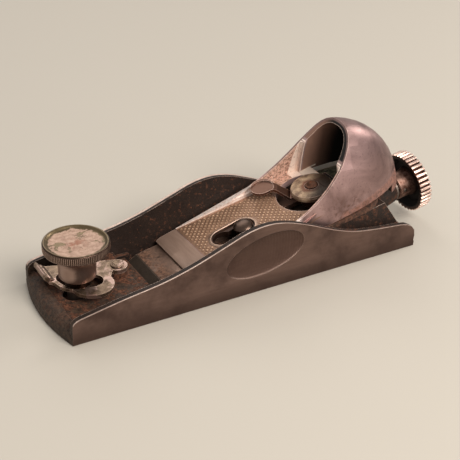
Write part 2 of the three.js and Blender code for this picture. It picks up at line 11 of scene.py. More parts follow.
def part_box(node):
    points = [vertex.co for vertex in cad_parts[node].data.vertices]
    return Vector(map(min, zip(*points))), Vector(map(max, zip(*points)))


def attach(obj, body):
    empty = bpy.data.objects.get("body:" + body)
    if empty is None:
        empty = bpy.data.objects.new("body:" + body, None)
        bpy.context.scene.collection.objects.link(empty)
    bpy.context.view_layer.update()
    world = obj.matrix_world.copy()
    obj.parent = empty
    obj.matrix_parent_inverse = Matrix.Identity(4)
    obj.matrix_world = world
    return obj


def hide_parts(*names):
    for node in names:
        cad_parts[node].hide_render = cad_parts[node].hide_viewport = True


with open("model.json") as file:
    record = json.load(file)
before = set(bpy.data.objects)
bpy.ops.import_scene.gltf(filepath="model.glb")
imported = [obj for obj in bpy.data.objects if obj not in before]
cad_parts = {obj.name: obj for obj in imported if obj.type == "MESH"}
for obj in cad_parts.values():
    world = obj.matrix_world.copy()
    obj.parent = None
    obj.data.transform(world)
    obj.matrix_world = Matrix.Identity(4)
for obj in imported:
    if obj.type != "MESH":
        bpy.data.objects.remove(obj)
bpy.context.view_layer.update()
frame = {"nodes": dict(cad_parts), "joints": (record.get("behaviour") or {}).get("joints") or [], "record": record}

random.seed(7)
MM = 0.001

# ---- Places from the frame, in millimetres -------------------------------------------------------

JOINTS = {joint["name"]: joint for joint in frame["joints"]}


def joint_place(name):
    """The point that a joint turns or slides at."""
    return Vector(JOINTS[name]["pos_m"]) / MM


def far_side(node):
    """How far a CAD node reaches along Y."""
    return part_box(node)[1].y / MM


HALF_WIDTH = far_side("body_casting")
CAP_SLOPE = Vector(JOINTS["lever_cap_slide"]["axis"])
CAP_ANGLE = math.atan2(CAP_SLOPE.z, CAP_SLOPE.x)
CAM_PIVOT = joint_place("cam_lever_swing")
CAP_ORIGIN_Z = CAM_PIVOT.z - CAM_PIVOT.x * math.tan(CAP_ANGLE)
KNOB_AXIS = joint_place("front_knob_turn")
RIVET_AXIS = joint_place("throat_lever_swing")
FEED_AXIS = -Vector(JOINTS["depth_wheel_turn"]["axis"])
WHEEL_RADIUS = far_side("depth_wheel")
WHEEL_FRONT = 13.35  # from the feed hinge's point to the wheel's front face, along the feed axis
WHEEL_CENTRE = joint_place("depth_wheel_turn") + WHEEL_FRONT * FEED_AXIS

# ---- The lever cap's own sizes, in millimetres ---------------------------------------------------
# S runs up the cap's slope, and P out of its plate.

LIP_END_X = -15.4  # rear edge of the polished lip
HATCH_FRONT_S, HATCH_FRONT_HALF = -15.6, 20.9
HATCH_REAR_S, HATCH_REAR_HALF = 22.9, 16.6
HATCH_END_S = 33.0
HATCH_PITCH, HATCH_HEIGHT, HATCH_BLUNT = 1.3, 0.42, 0.26
KEYHOLE_S, SCREW_S, KEYHOLE_RADIUS = -3.2, 7.4, 5.3
RIM_WIDTH = 1.3  # of the border round the keyhole
WINDOW_S, WINDOW_RADIUS = 41.5, 13.8
# The hood's form, a little smaller than life, tells its inside from its outside.
HOOD_HALF_WIDTH, HOOD_FOOT_Z, HOOD_RISE, HOOD_POWER = 19.3, 12.5, 46.7, 2.45
HOOD_TURN_X, HOOD_REACH, HOOD_BACK_POWER = 45.0, 43.2, 2.35
WALL_X = 46.5  # the hood's thick wall starts here; thin wings stand in front of it
# The floor of the hood's hollow passes through this place, with this slope.
FLOOR_X, FLOOR_Z, FLOOR_SLOPE = 62.0, 27.8, 0.13
TONGUE_RADIUS, TONGUE_BACK = 10.0, 0.8  # the disc over the cam lever stands back from the pivot

# ---- The knob's own sizes, in millimetres --------------------------------------------------------
# Its outline as radius and height: the bore and foot, the neck, the flare, the head, the dished top.
KNOB_PROFILE = [
    (3.3, 27), (3.3, 11.1), (5.4, 11.1), (5.6, 11.3), (5.6, 14.2),
    (7.2, 14.55), (7.6, 14.85), (7.78, 15.4), (7.8, 18), (7.9, 21),
    (8.3, 23), (8.9, 24.5), (9.9, 25.5), (11.5, 26.3), (12.9, 26.75), (13.45, 27.05),
    (13.66, 27.4), (13.78, 27.65), (13.78, 30.25), (13.66, 30.5), (13.5, 30.8), (13.2, 30.98),
    (12.85, 30.98), (12.5, 30.8), (12.1, 30.35), (11.5, 30.0), (10.4, 29.75), (8.5, 29.6),
    (5, 29.5), (2, 29.45), (0.02, 29.45), (0.02, 27),
]
# The knurls stand between two heights, outside the floor's radius.
KNURL_LOW, KNURL_HIGH, KNURL_FLOOR = 27.5, 30.4, 13.6

# ---- Node materials ------------------------------------------------------------------------------


def srgb(code):
    """A hexadecimal colour as linear RGBA."""
    parts = [int(code[i : i + 2], 16) / 255 for i in (1, 3, 5)]
    linear = [p / 12.92 if p <= 0.04045 else ((p + 0.055) / 1.055) ** 2.4 for p in parts]
    return (*linear, 1)


class Graph:
    """A material's node tree, with short calls for the nodes that the finishes share.

    A value may be a socket, a number or, for a colour, a hexadecimal code.
    """

    def __init__(self, name):
        self.material = bpy.data.materials.new(name)
        self.material.use_nodes = True
        self.tree = self.material.node_tree
        self.shader = self.tree.nodes["Principled BSDF"]
        self.coords = self.tree.nodes.new("ShaderNodeTexCoord")
        self.place = self.coords.outputs["Object"]

    def node(self, kind, inputs=(), **settings):
        made = self.tree.nodes.new("ShaderNode" + kind)
        for key, value in settings.items():
            setattr(made, key, value)
        for key, value in dict(inputs).items():
            self.put(made.inputs[key], value)
        return made

    def put(self, socket, value):
        if isinstance(value, bpy.types.NodeSocket):
            self.tree.links.new(value, socket)
        else:
            socket.default_value = srgb(value) if isinstance(value, str) else value

    def calculate(self, operation, *values, clamp=False):
        """One operation over all the values, from left to right."""
        total = values[0]
        for value in values[1:]:
            made = self.node("Math", {0: total, 1: value}, operation=operation, use_clamp=clamp)
            total = made.outputs[0]
        return total

    def plus(self, *values):
        return self.calculate("ADD", *values)

    def minus(self, *values, clamp=False):
        return self.calculate("SUBTRACT", *values, clamp=clamp)

    def times(self, *values):
        return self.calculate("MULTIPLY", *values)

    def over(self, value, divisor):
        return self.calculate("DIVIDE", value, divisor)

    def power(self, value, exponent):
        return self.calculate("POWER", value, exponent)

    def most(self, *values):
        return self.calculate("MAXIMUM", *values)

    def of_one(self, operation, value):
        """An operation on a single value."""
        return self.node("Math", {0: value}, operation=operation).outputs[0]

    def size(self, value):
        return self.of_one("ABSOLUTE", value)

    def without(self, mask, share=1.0):
        """1 where a mask is 0, and less by a share of the mask elsewhere."""
        return self.minus(1.0, self.times(mask, share))

    def distance(self, a, b):
        """The length of a line that reaches a one way and b across it."""
        return self.of_one("SQRT", self.plus(self.times(a, a), self.times(b, b)))

    def band(self, value, low, high):
        """0 below low, 1 above high, smooth between; low may be above high."""
        made = self.node(
            "MapRange",
            {"Value": value, "From Min": low, "From Max": high},
            interpolation_type="SMOOTHSTEP",
        )
        return made.outputs[0]

    def noise(self, per_mm, detail=4, roughness=0.6, stretch=(1, 1, 1), seed=0.0, distortion=0.0):
        """Noise between 0 and 1 with features about 1 / per_mm millimetres across."""
        moved = self.node(
            "Mapping", {"Vector": self.place, "Scale": stretch, "Location": (seed, seed * 0.7, 0)}
        )
        made = self.node(
            "TexNoise",
            {
                "Vector": moved.outputs[0],
                "Scale": per_mm / MM,
                "Detail": detail,
                "Roughness": roughness,
                "Distortion": distortion,
            },
        )
        return made.outputs["Fac"]

    def mix(self, amount, a, b):
        """Colour a where amount is 0, and b where it is 1."""
        return self.node("Mix", {0: amount, 6: a, 7: b}, data_type="RGBA").outputs[2]

    def blend(self, amount, a, b):
        """Number a where amount is 0, and b where it is 1."""
        return self.node("Mix", {0: amount, 2: a, 3: b}, data_type="FLOAT").outputs[0]

    def place_mm(self):
        """The object-space place in millimetres."""
        return self.node("VectorMath", {0: self.place, "Scale": 1 / MM}, operation="SCALE").outputs[0]

    def axes(self):
        """The object-space place as separate X, Y and Z outputs, in millimetres."""
        return self.node("SeparateXYZ", {0: self.place_mm()}).outputs

    def facing(self):
        """The object-space normal as separate X, Y and Z outputs."""
        return self.node("SeparateXYZ", {0: self.coords.outputs["Normal"]}).outputs

    def edges(self, radius_mm, strength=6.0):
        """1 along sharp edges, 0 on flats, from how far a rounded normal strays from the real one."""
        rounded = self.node("Bevel", {"Radius": radius_mm * MM}, samples=4).outputs[0]
        plain = self.node("NewGeometry").outputs["Normal"]
        dot = self.node("VectorMath", {0: rounded, 1: plain}, operation="DOT_PRODUCT")
        away = self.minus(1.0, dot.outputs["Value"])
        return self.calculate("MULTIPLY", away, strength, clamp=True)

    def bump(self, height, depth_mm):
        return self.node("Bump", {"Height": height, "Distance": depth_mm * MM, "Strength": 1.0}).outputs[0]


class Coat:
    """A material's finish, built up in layers that each cover the last where a mask is high."""

    def __init__(self, graph, color, rough, metal):
        self.graph, self.color, self.rough, self.metal = graph, color, rough, metal

    def lay(self, mask, color=None, rough=None, metal=None):
        """Covers whichever of the three values are given."""
        if color is not None:
            self.color = self.graph.mix(mask, self.color, color)
        if rough is not None:
            self.rough = self.graph.blend(mask, self.rough, rough)
        if metal is not None:
            self.metal = self.graph.blend(mask, self.metal, metal)

    def dull(self, mask, amount):
        """Takes an amount off the metal where a mask is high."""
        self.metal = self.graph.minus(self.metal, self.graph.times(mask, amount), clamp=True)

    def rust(self, amount, dark="#2c150c", light="#8a4d2c"):
        """Lays matt rust, mottled between two browns."""
        g = self.graph
        tint = g.mix(g.band(g.noise(0.9, 6, 0.7, seed=3.1), 0.3, 0.7), dark, light)
        self.lay(amount, tint, 0.85, 0.0)

    def done(self, normal=None):
        """Puts the finish on the shader, and returns the material."""
        g = self.graph
        g.put(g.shader.inputs["Base Color"], self.color)
        g.put(g.shader.inputs["Roughness"], self.rough)
        g.put(g.shader.inputs["Metallic"], self.metal)
        if normal is not None:
            g.put(g.shader.inputs["Normal"], normal)
        return g.material


class Places:
    """The measures and masks that the layers of one piece share, by name."""

    def __init__(self, **named):
        for name, value in named.items():
            setattr(self, name, value)


# The body casting and the toe plate.


def body_places(g):
    """Where things are on the body casting, and the masks that its layers share."""
    x, y, z = g.axes()
    _, facing_y, up = g.facing()
    side = g.size(y)
    outward = g.band(g.size(facing_y), 0.35, 0.65)
    outside = g.times(g.band(side, HALF_WIDTH - 1.95, HALF_WIDTH - 1.75), outward)
    return Places(
        x=x,
        y=y,
        z=z,
        up=up,
        side=side,
        outside=outside,
        finger_hollow=g.band(side, HALF_WIDTH - 0.05, HALF_WIDTH - 0.35),
        deck=g.times(g.band(z, 9.5, 7.5), g.band(up, 0.2, 0.6)),
        nose=g.band(x, -81.5, -83.5),
        flakes=g.noise(0.26, 9, 0.72, seed=5.0),
        streaks=g.noise(0.6, 6, 0.65, stretch=(0.1, 1, 1), seed=1.0),
    )


def ground_iron(g, at):
    """The cheeks' ground outsides: streaky, and browner low down and in the finger hollows."""
    color = g.mix(at.streaks, "#5a463e", "#796258")
    color = g.mix(g.band(g.noise(0.045, 5, 0.6, seed=2.0), 0.42, 0.72), color, "#483731")
    color = g.mix(g.times(g.band(at.z, 10, 0), 0.7), color, "#3f2f29")
    return g.mix(g.times(at.finger_hollow, 0.55), color, "#463129")


def japan_rust(g, at):
    """How far the japanning has gone to rust: specks on the walls, more on the deck and heel."""
    more_midway = g.times(g.band(at.x, -55, -20), 0.05)
    specks = g.band(g.plus(g.noise(0.55, 7, 0.74, seed=8.0), more_midway), 0.595, 0.68)
    deck = g.times(at.deck, g.band(at.flakes, 0.44, 0.56), g.without(at.nose, 0.75))
    heel = g.times(g.band(at.x, 40, 50), g.band(g.noise(0.3, 8, 0.7, seed=12.0), 0.50, 0.66))
    from_rivet = g.distance(g.minus(at.x, RIVET_AXIS.x), g.minus(at.y, RIVET_AXIS.y))
    pad = g.times(g.band(from_rivet, 5.8, 5.4), g.band(at.z, 9.5, 9.2), g.band(at.flakes, 0.36, 0.5))
    return g.most(deck, g.times(specks, 0.75), heel, pad)


def japanning(g, at):
    """Black japanning with brown dirt on the deck and nose, rusted through, and painted shade along the step
    between them.
    """
    dirt = g.mix(g.band(g.noise(0.6, 8, 0.75, seed=9.0), 0.3, 0.7), "#110b08", "#523f32")
    black = g.mix(g.noise(0.15, 6, seed=4.0), "#100a08", "#30221b")
    coat = Coat(g, g.mix(g.most(at.deck, at.nose), black, dirt), 0.58, 0.0)
    rusted = japan_rust(g, at)
    coat.rust(rusted, "#22120c", "#764c38")
    flecks = g.band(g.noise(0.9, 8, 0.75, seed=14.0), 0.60, 0.66)
    coat.lay(g.times(flecks, rusted, 0.8), "#bd7b4f")
    pitted = g.band(g.noise(1.0, 7, 0.75, seed=15.0), 0.42, 0.36)
    coat.lay(g.times(pitted, at.deck), "#0c0705")
    # Painted shade: a near-black line at the foot of the step behind the nose, where shade falls.
    step_shade = g.times(g.band(at.x, -83.2, -82.4), g.band(at.x, -81.4, -82.2), g.band(at.z, 6.7, 6.1))
    coat.lay(step_shade, "#0b0705")
    return coat


def body_shine(g, at):
    """Where the casting is rubbed bright: its sharp edges, and a thin line along the cheeks' tops that is partly
    painted highlight.
    """
    patchy = g.band(g.noise(0.12, 5, seed=6.0), 0.30, 0.55)
    on_deck = g.times(g.band(at.z, 9.5, 8.5), g.without(at.outside))
    worn = g.times(g.edges(0.4), patchy, g.without(at.outside, 0.75), g.without(on_deck, 0.85))
    # The far cheek's bright top line, rubbed and partly painted highlight, covers more of its width.
    side = g.plus(at.side, g.times(g.band(at.y, 0, 1), 0.6))
    # Rubbed bright and partly a painted highlight: a thin line along the outer corner of each cheek's top.
    top = g.times(
        g.band(side, HALF_WIDTH - 0.8, HALF_WIDTH - 0.5),
        g.band(at.up, 0.30, 0.60),
        g.band(at.z, 6.5, 8.5),
    )
    # The finger hollow's lower rim faces up as well, but isn't rubbed. The hollow's long axis leans.
    hollow_lean, hollow_z = 0.158, 17.5
    over_axis = g.minus(at.z, g.times(at.x, hollow_lean))
    along_rim = g.times(g.band(at.x, -18, -16), g.band(at.x, 25, 23))
    lower_rim = g.times(along_rim, g.band(over_axis, hollow_z, hollow_z - 1))
    return g.most(worn, g.times(top, g.without(lower_rim, 0.85)))


def body_relief(g, at):
    """Pits in the casting's skin, fine grain on its ground sides, ribs in the finger hollows."""
    rib_pitch, rib_lean = 0.75, 6.0
    grain = g.noise(2.2, 5, 0.7, stretch=(0.06, 1, 1), seed=2.0)
    phase = g.plus(g.times(at.x, math.tau / rib_pitch), g.times(at.z, math.tau / rib_lean))
    ribs = g.times(g.of_one("SINE", phase), at.finger_hollow, at.outside, 0.7)
    pits = g.times(g.noise(0.8, 9, 0.75, seed=1.0), 7.0)
    return g.blend(at.outside, pits, g.plus(grain, ribs))


def body_finish():
    """Ground iron outside; black japanning, rusted through in places, inside; bright worn edges."""
    g = Graph("ground_iron_and_japan")
    at = body_places(g)
    coat = japanning(g, at)
    coat.lay(at.outside, ground_iron(g, at), g.blend(at.streaks, 0.40, 0.58), 0.8)
    bright = g.mix(g.noise(0.3, 6, 0.7, seed=7.0), "#94786a", "#f6dfd2")
    coat.lay(body_shine(g, at), bright, 0.34, 0.6)
    g.put(g.shader.inputs["Specular IOR Level"], 0.3)
    return coat.done(g.bump(body_relief(g, at), 0.05))


# The lever cap.


def over_plate(g, x, z):
    """How far a place stands over the plane of the cap's plate."""
    return g.minus(z, g.plus(g.times(x, math.tan(CAP_ANGLE)), CAP_ORIGIN_Z))


def inside_hood(g, x, side, z):
    """1 within the hood's form, between its wings and under its dome, and 0 on its outer skin."""
    across = g.power(g.over(side, HOOD_HALF_WIDTH), HOOD_POWER)
    upward = g.power(g.over(g.most(g.minus(z, HOOD_FOOT_Z), 0.0), HOOD_RISE), HOOD_POWER)
    section = g.power(g.plus(across, upward), HOOD_BACK_POWER / HOOD_POWER)
    behind = g.power(g.over(g.most(g.minus(x, HOOD_TURN_X), 0.0), HOOD_REACH), HOOD_BACK_POWER)
    return g.times(g.band(g.plus(section, behind), 1.0, 0.97), g.band(x, 19, 21))


def cap_places(g):
    """Where things are on the lever cap, and the masks that its layers share."""
    x, y, z = g.axes()
    side = g.size(y)
    above = over_plate(g, x, z)
    inner = inside_hood(g, x, side, z)
    near_plate = g.size(above)
    return Places(
        x=x,
        y=y,
        z=z,
        side=side,
        above=above,
        near_plate=near_plate,
        inner=inner,
        wing=g.times(inner, g.band(above, -0.4, -0.1), g.band(x, WALL_X - 0.3, WALL_X - 0.7)),
        plate=g.times(
            g.band(near_plate, 0.4, 0.2), g.band(x, 37, 33), g.band(x, LIP_END_X, LIP_END_X + 0.2)
        ),
        keyhole_wall=g.times(g.band(above, 0.05, -0.1), g.band(side, 6.8, 6.2), g.band(x, 19, 18)),
        hollow=g.times(inner, g.band(x, WALL_X + 0.7, WALL_X + 1.1)),
        foot=g.times(g.band(above, -4.0, -6.5), g.band(x, 44, 48), g.without(inner)),
        rail=g.times(g.band(above, 0.1, 0.3), g.band(x, 26, 22), g.band(side, 16.5, 17.0)),
        lip=g.times(g.band(x, LIP_END_X, LIP_END_X - 0.3), g.band(above, -2.0, -1.2)),
    )


def cap_nickel(g, at):
    """Pinkish tarnished nickel with stains, pocks and scratches, and rust low on the hood."""
    cloud = g.band(g.noise(0.055, 5, 0.55, seed=1.0, distortion=0.8), 0.25, 0.75)
    rough = g.blend(g.noise(0.5, 6, 0.6, seed=2.0), 0.34, 0.46)
    coat = Coat(g, g.mix(cloud, "#7a625f", "#b39592"), rough, 1.0)
    spots = g.band(g.noise(0.35, 6, 0.7, seed=3.0), 0.62, 0.74)
    coat.lay(g.times(spots, 0.4), "#7b5844")
    low = g.times(g.band(at.z, 36, 22), g.band(at.side, 17.5, 18.7), g.band(at.x, 34, 46))
    coat.lay(g.times(low, g.band(g.noise(0.4, 7, 0.7, seed=11.0), 0.45, 0.7)), "#5c3c2e")
    pocks = g.band(g.noise(0.8, 8, 0.8, seed=16.0), 0.555, 0.64)
    coat.lay(g.times(pocks, 0.55), "#503a34")
    scratches = g.band(g.noise(0.9, 6, 0.75, stretch=(0.12, 1, 1.3), seed=17.0), 0.60, 0.70)
    coat.lay(g.times(scratches, 0.22), "#e3ccc4")
    return coat


def lay_hollow(g, at, coat):
    """The hood's hollow, painted brown where light reaches its far wall and black in its shade; its cream front
    edges, a pale ledge and a pale band low at the back, both painted light, and its dirty floor.
    """
    # Painted light and shade: brown where light falls on the hollow's far front wall, black towards the back and
    # the near side, where shade falls.
    hollow_painted_shade = g.most(g.band(at.x, 52, 64), g.band(at.y, 10, 2))
    coat.lay(at.hollow, g.mix(hollow_painted_shade, "#947262", "#0b0605"))
    # The wings turn into the hollow in a cream strip that widens towards the plate.
    strip_width = g.times(g.most(g.minus(21.0, at.above), 0.0), 0.19)
    strip = g.times(at.wing, g.band(g.minus(at.x, g.minus(WALL_X - 1, strip_width)), 0.0, 0.3))
    front_edge = g.times(
        at.inner, g.band(at.x, WALL_X - 0.3, WALL_X - 0.1), g.band(at.x, WALL_X + 0.3, WALL_X + 0.1)
    )
    cream = g.mix(g.band(g.noise(0.8, 9, 0.78, seed=7.0), 0.31, 0.47), "#9c7763", "#ffeadc")
    coat.lay(g.most(front_edge, strip), cream)
    # Painted light: a pale band on the plate at the front of the hollow stands for light falling on it.
    ledge = g.times(g.band(at.near_plate, 0.5, 0.3), g.band(at.x, 55.2, 54.6), g.band(at.x, 45.5, 46.5))
    coat.lay(g.times(ledge, at.inner), "#f0e0d0")
    floor_z = g.plus(g.times(g.minus(at.x, FLOOR_X), FLOOR_SLOPE), FLOOR_Z)
    over_floor = g.minus(at.z, floor_z)
    # Painted light: a near-white band just above the floor, low at the back, stands for light falling in through
    # the opening.
    coat.lay(g.times(at.hollow, g.band(over_floor, 2.7, 2.5)), "#fbf2e8")
    dirt = g.mix(g.band(g.noise(0.4, 7, 0.7, seed=8.0), 0.35, 0.65), "#2f2e20", "#85806a")
    coat.lay(g.times(at.hollow, g.band(over_floor, 0.12, 0.04)), dirt)


def lay_tongue(g, at, coat):
    """The tongue over the cam lever: creamy plate, browned round its rivet, dark away from the light."""
    back = g.minus(at.x, CAM_PIVOT.x - TONGUE_BACK)
    radius = g.distance(back, at.y)
    cream = g.mix(g.band(g.noise(0.3, 6, seed=9.0), 0.3, 0.7), "#6d5340", "#cdb091")
    ragged = g.plus(radius, g.times(g.noise(0.25, 6, seed=10.0), 4.0))
    cream = g.mix(g.band(ragged, 7.8, 5.5), cream, "#7c503b")
    away_from_light = g.plus(g.times(back, 0.75), g.times(at.y, -0.65))
    cream = g.mix(g.times(g.band(away_from_light, -4.0, 5.0), 0.95), cream, "#2f2118")
    tongue = g.times(g.band(radius, TONGUE_RADIUS + 0.2, TONGUE_RADIUS), g.band(at.above, -0.9, -0.6))
    coat.lay(tongue, cream, 0.42)


def cap_finish():
    """The lever cap: tarnished nickel, a rough casting skin on the wings, a hollow painted dark for the shade in
    it.
    """
    g = Graph("lever_cap_nickel")
    at = cap_places(g)
    coat = cap_nickel(g, at)
    rough_casting = g.mix(g.band(g.noise(0.75, 9, 0.75, seed=5.0), 0.36, 0.58), "#7a5342", "#e9bfab")
    coat.lay(at.wing, rough_casting)
    coat.lay(at.plate, g.mix(g.noise(0.25, 6, 0.65, seed=15.0), "#735443", "#ad8a72"))
    # Painted shade: the keyhole's walls below the plate are dark brown where shade falls in the slot.
    coat.lay(at.keyhole_wall, "#3b2820")
    lay_hollow(g, at, coat)
    coat.lay(at.inner, rough=0.6)
    coat.dull(at.inner, 0.85)
    coat.dull(g.most(at.plate, at.keyhole_wall), 0.4)
    # The hood's foot is rusty where it meets the blade.
    rust = g.mix(g.band(g.noise(0.6, 8, 0.75, seed=18.0), 0.3, 0.66), "#3e271d", "#9c6c5a")
    coat.lay(g.times(at.foot, 0.75), rust)
    coat.lay(at.foot, rough=0.65)
    coat.dull(at.foot, 0.6)
    # The rails are rubbed bright and painted near-white besides, a painted highlight where light catches them, and
    # the lip is a duller grey.
    rubbed_and_lit = g.mix(g.band(g.noise(0.7, 8, 0.75, seed=12.0), 0.32, 0.55), "#d6b0a0", "#fff0e8")
    coat.lay(at.rail, rubbed_and_lit)
    brushed = g.mix(g.noise(0.7, 7, 0.7, stretch=(1, 0.15, 1), seed=13.0), "#806758", "#ab9182")
    coat.lay(at.lip, brushed, 0.55)
    coat.dull(at.lip, 0.55)
    lay_tongue(g, at, coat)
    coat.dull(at.rail, 0.7)
    unrubbed = g.times(g.most(at.keyhole_wall, at.foot), 0.8)
    coat.lay(g.times(g.edges(0.45), g.minus(0.9, unrubbed)), "#ecd0c1")
    skin_depth = g.plus(g.times(at.wing, 7.0), at.inner, 0.35)
    return coat.done(g.bump(g.times(g.noise(0.9, 9, 0.75, seed=6.0), skin_depth), 0.04))


def hatch_finish():
    """The hatched panel: brassy brown grime between rubbed bright points."""
    g = Graph("hatched_nickel")
    x, _, z = g.axes()
    points = g.band(over_plate(g, x, z), 0.18, 0.40)
    worn = g.times(points, g.band(g.noise(0.12, 5, seed=5.0), 0.15, 0.5))
    coat = Coat(g, g.mix(g.noise(0.2, 6, 0.6, seed=2.0), "#654a39", "#ab866a"), 0.6, 0.5)
    coat.lay(worn, "#dcb79b", 0.42, 0.75)
    return coat.done(g.bump(g.noise(1.5, 5, seed=3.0), 0.02))


# The smaller pieces.


def nickel_finish(name, dark, light, rough):
    """Nickel plate with cloudy tarnish, brown stains and bright edges."""
    g = Graph(name)
    cloud = g.noise(0.06, 5, 0.55, seed=1.0, distortion=0.6)
    fine = g.noise(0.5, 6, 0.6, seed=2.0)
    spots = g.band(g.noise(0.35, 6, 0.7, seed=3.0), 0.6, 0.72)
    coat = Coat(g, g.mix(cloud, dark, light), g.blend(fine, *rough), 1.0)
    coat.lay(g.times(spots, 0.5), "#8a6a50")
    coat.lay(spots, rough=0.6)
    coat.lay(g.edges(0.5), "#e8cabc")
    return coat.done(g.bump(g.noise(0.25, 4, 0.5, seed=4.0), 0.03))


def steel_finish(name, dark, light, rust, rough=(0.35, 0.55)):
    """Dull steel with brown stains and some rust."""
    g = Graph(name)
    fine = g.noise(1.1, 6, 0.65, stretch=(0.25, 1, 1), seed=2.0)
    cloud = g.noise(0.12, 6, 0.65, seed=1.0)
    coat = Coat(g, g.mix(cloud, dark, light), g.blend(fine, *rough), 0.95)
    coat.rust(g.band(g.noise(0.32, 8, 0.72, seed=5.0), 0.66 - rust, 0.76 - rust))
    coat.lay(g.edges(0.35, 5.0), "#d3bbae")
    return coat.done(g.bump(fine, 0.03))


def cutter_finish():
    """Tool steel: grey along the blade, rusty towards its edge, dark at its bevel and its heel."""
    g = Graph("cutter_steel")
    x, _, _ = g.axes()
    near_edge, bevel, heel = g.band(x, -24, -33), g.band(x, -35.2, -35.6), g.band(x, 30, 45)
    cloud = g.noise(0.12, 6, 0.65, seed=1.0)
    lines = g.noise(0.9, 6, 0.65, stretch=(1, 0.08, 1), seed=2.0)
    coat = Coat(g, g.mix(cloud, "#6e5a4d", "#a88d7f"), g.blend(lines, 0.3, 0.5), 0.95)
    patch = g.noise(0.2, 9, 0.72, seed=5.0)
    more_patches = g.times(near_edge, g.band(patch, 0.36, 0.5))
    coat.rust(g.most(g.band(patch, 0.56, 0.68), more_patches, heel), "#33211a", "#85614c")
    crust = g.mix(g.band(g.noise(0.6, 8, 0.75, seed=10.0), 0.35, 0.65), "#2b1c14", "#654435")
    coat.lay(heel, crust, 0.7)
    coat.lay(bevel, g.mix(g.noise(0.5, 7, 0.7, seed=9.0), "#1a120c", "#4a3c30"))
    coat.lay(g.most(bevel, heel), metal=0.25)
    coat.lay(g.times(g.edges(0.3, 5.0), g.without(heel)), "#c9ae9c")
    return coat.done(g.bump(g.noise(1.2, 8, 0.7, seed=3.0), 0.06))


def greened_finish():
    """Nickel worn through to dull brass, under pale flakes of old plate."""
    g = Graph("greened_nickel")
    fine = g.noise(0.6, 6, 0.65, seed=2.0)
    brass = g.mix(g.band(g.noise(0.35, 8, 0.72, seed=1.0), 0.3, 0.7), "#514033", "#9b8570")
    coat = Coat(g, brass, 0.42, 0.9)
    flakes = g.band(g.noise(0.16, 8, 0.66, seed=4.0, distortion=0.5), 0.48, 0.58)
    coat.lay(flakes, g.mix(fine, "#8c7065", "#c6aa9e"), 0.36)
    coat.lay(g.edges(0.4), "#e2c5b2")
    return coat.done(g.bump(g.plus(g.times(flakes, 0.6), fine), 0.035))


def knob_finish():
    """The knob: nickel sides, a foot painted dark for the shade under the neck, a greenish rim and a dish of
    flaking pinkish plate.
    """
    g = Graph("knob_nickel")
    x, y, z = g.axes()
    radius = g.distance(g.minus(x, KNOB_AXIS.x), y)
    ragged = g.times(g.minus(g.noise(0.22, 8, 0.7, seed=4.0), 0.5), 6.0)
    foot_top, head_low, dish_low, dish_radius = 14.3, 27.6, 29.3, 13.0
    dish = g.times(g.band(z, dish_low - 0.5, dish_low), g.band(radius, dish_radius + 0.4, dish_radius))
    plated = g.times(dish, g.band(g.plus(radius, ragged), 11.4, 10.8))
    holes = g.band(g.noise(0.16, 8, 0.7, seed=9.0, distortion=0.4), 0.565, 0.59)
    flaked = g.times(plated, g.without(holes))
    plate = g.mix(g.band(g.noise(0.5, 9, 0.75, seed=2.0), 0.3, 0.7), "#9a7c6c", "#c6a997")
    rusty = g.times(g.band(g.noise(0.35, 8, 0.7, seed=6.0), 0.45, 0.6), g.band(radius, 6.5, 2.0), 0.75)
    plate = g.mix(rusty, plate, "#8f5a43")
    green = g.mix(g.noise(0.3, 6, seed=1.0), "#4f4330", "#85745a")
    coat = Coat(g, g.mix(g.noise(0.12, 5, seed=3.0), "#826a60", "#bfa498"), 0.32, 0.95)
    between_knurls = g.times(
        g.band(z, head_low - 0.4, head_low), g.band(radius, KNURL_FLOOR + 0.25, KNURL_FLOOR)
    )
    coat.lay(between_knurls, "#3a2a23")
    # Painted shade: the narrow foot under the neck is near-black for the shade that falls there.
    coat.lay(g.band(z, foot_top + 0.7, foot_top), "#1d120d")
    coat.lay(dish, g.mix(flaked, green, plate))
    coat.lay(g.edges(0.3, 4.0), "#eacebc")
    coat.lay(flaked, rough=0.6, metal=0.5)
    return coat.done(g.bump(g.plus(flaked, g.noise(1.0, 6, 0.6, seed=5.0)), 0.05))


def wheel_finish():
    """The feed wheel: bright pinkish ridges with grime between them, and a dished front painted black for the
    shade in it.
    """
    g = Graph("wheel_nickel")
    moved = g.node("VectorMath", {0: g.place_mm(), 1: WHEEL_CENTRE[:]}, operation="SUBTRACT").outputs[0]
    along = g.node("VectorMath", {0: moved, 1: FEED_AXIS[:]}, operation="DOT_PRODUCT").outputs["Value"]
    reach = g.node("VectorMath", {0: moved}, operation="LENGTH").outputs["Value"]
    square = g.minus(g.times(reach, reach), g.times(along, along))
    radius = g.of_one("SQRT", g.most(square, 0.0))
    fine = g.noise(0.6, 6, 0.6, seed=2.0)
    coat = Coat(g, g.mix(fine, "#c2a296", "#fbdfd2"), g.blend(fine, 0.26, 0.4), 0.95)
    dish_back, dish_radius, hub_radius = 3.6, 12.6, 6.6
    coat.lay(g.band(radius, WHEEL_RADIUS - 0.22, WHEEL_RADIUS - 0.7), "#35211a")
    # Painted shade: the dished front is black for the shade that fills it.
    dish = g.times(
        g.band(along, dish_back + 0.6, dish_back),
        g.band(radius, dish_radius + 0.3, dish_radius),
        g.band(radius, hub_radius, hub_radius + 0.8),
    )
    coat.lay(dish, "#160c09", 0.7, 0.2)
    rusty = g.mix(g.band(g.noise(0.5, 7, 0.7, seed=4.0), 0.35, 0.65), "#54382e", "#94766a")
    coat.lay(g.band(radius, hub_radius + 0.6, hub_radius), rusty, 0.5)
    return coat.done(g.bump(g.noise(1.0, 6, seed=5.0), 0.04))


# ---- Pieces --------------------------------------------------------------------------------------


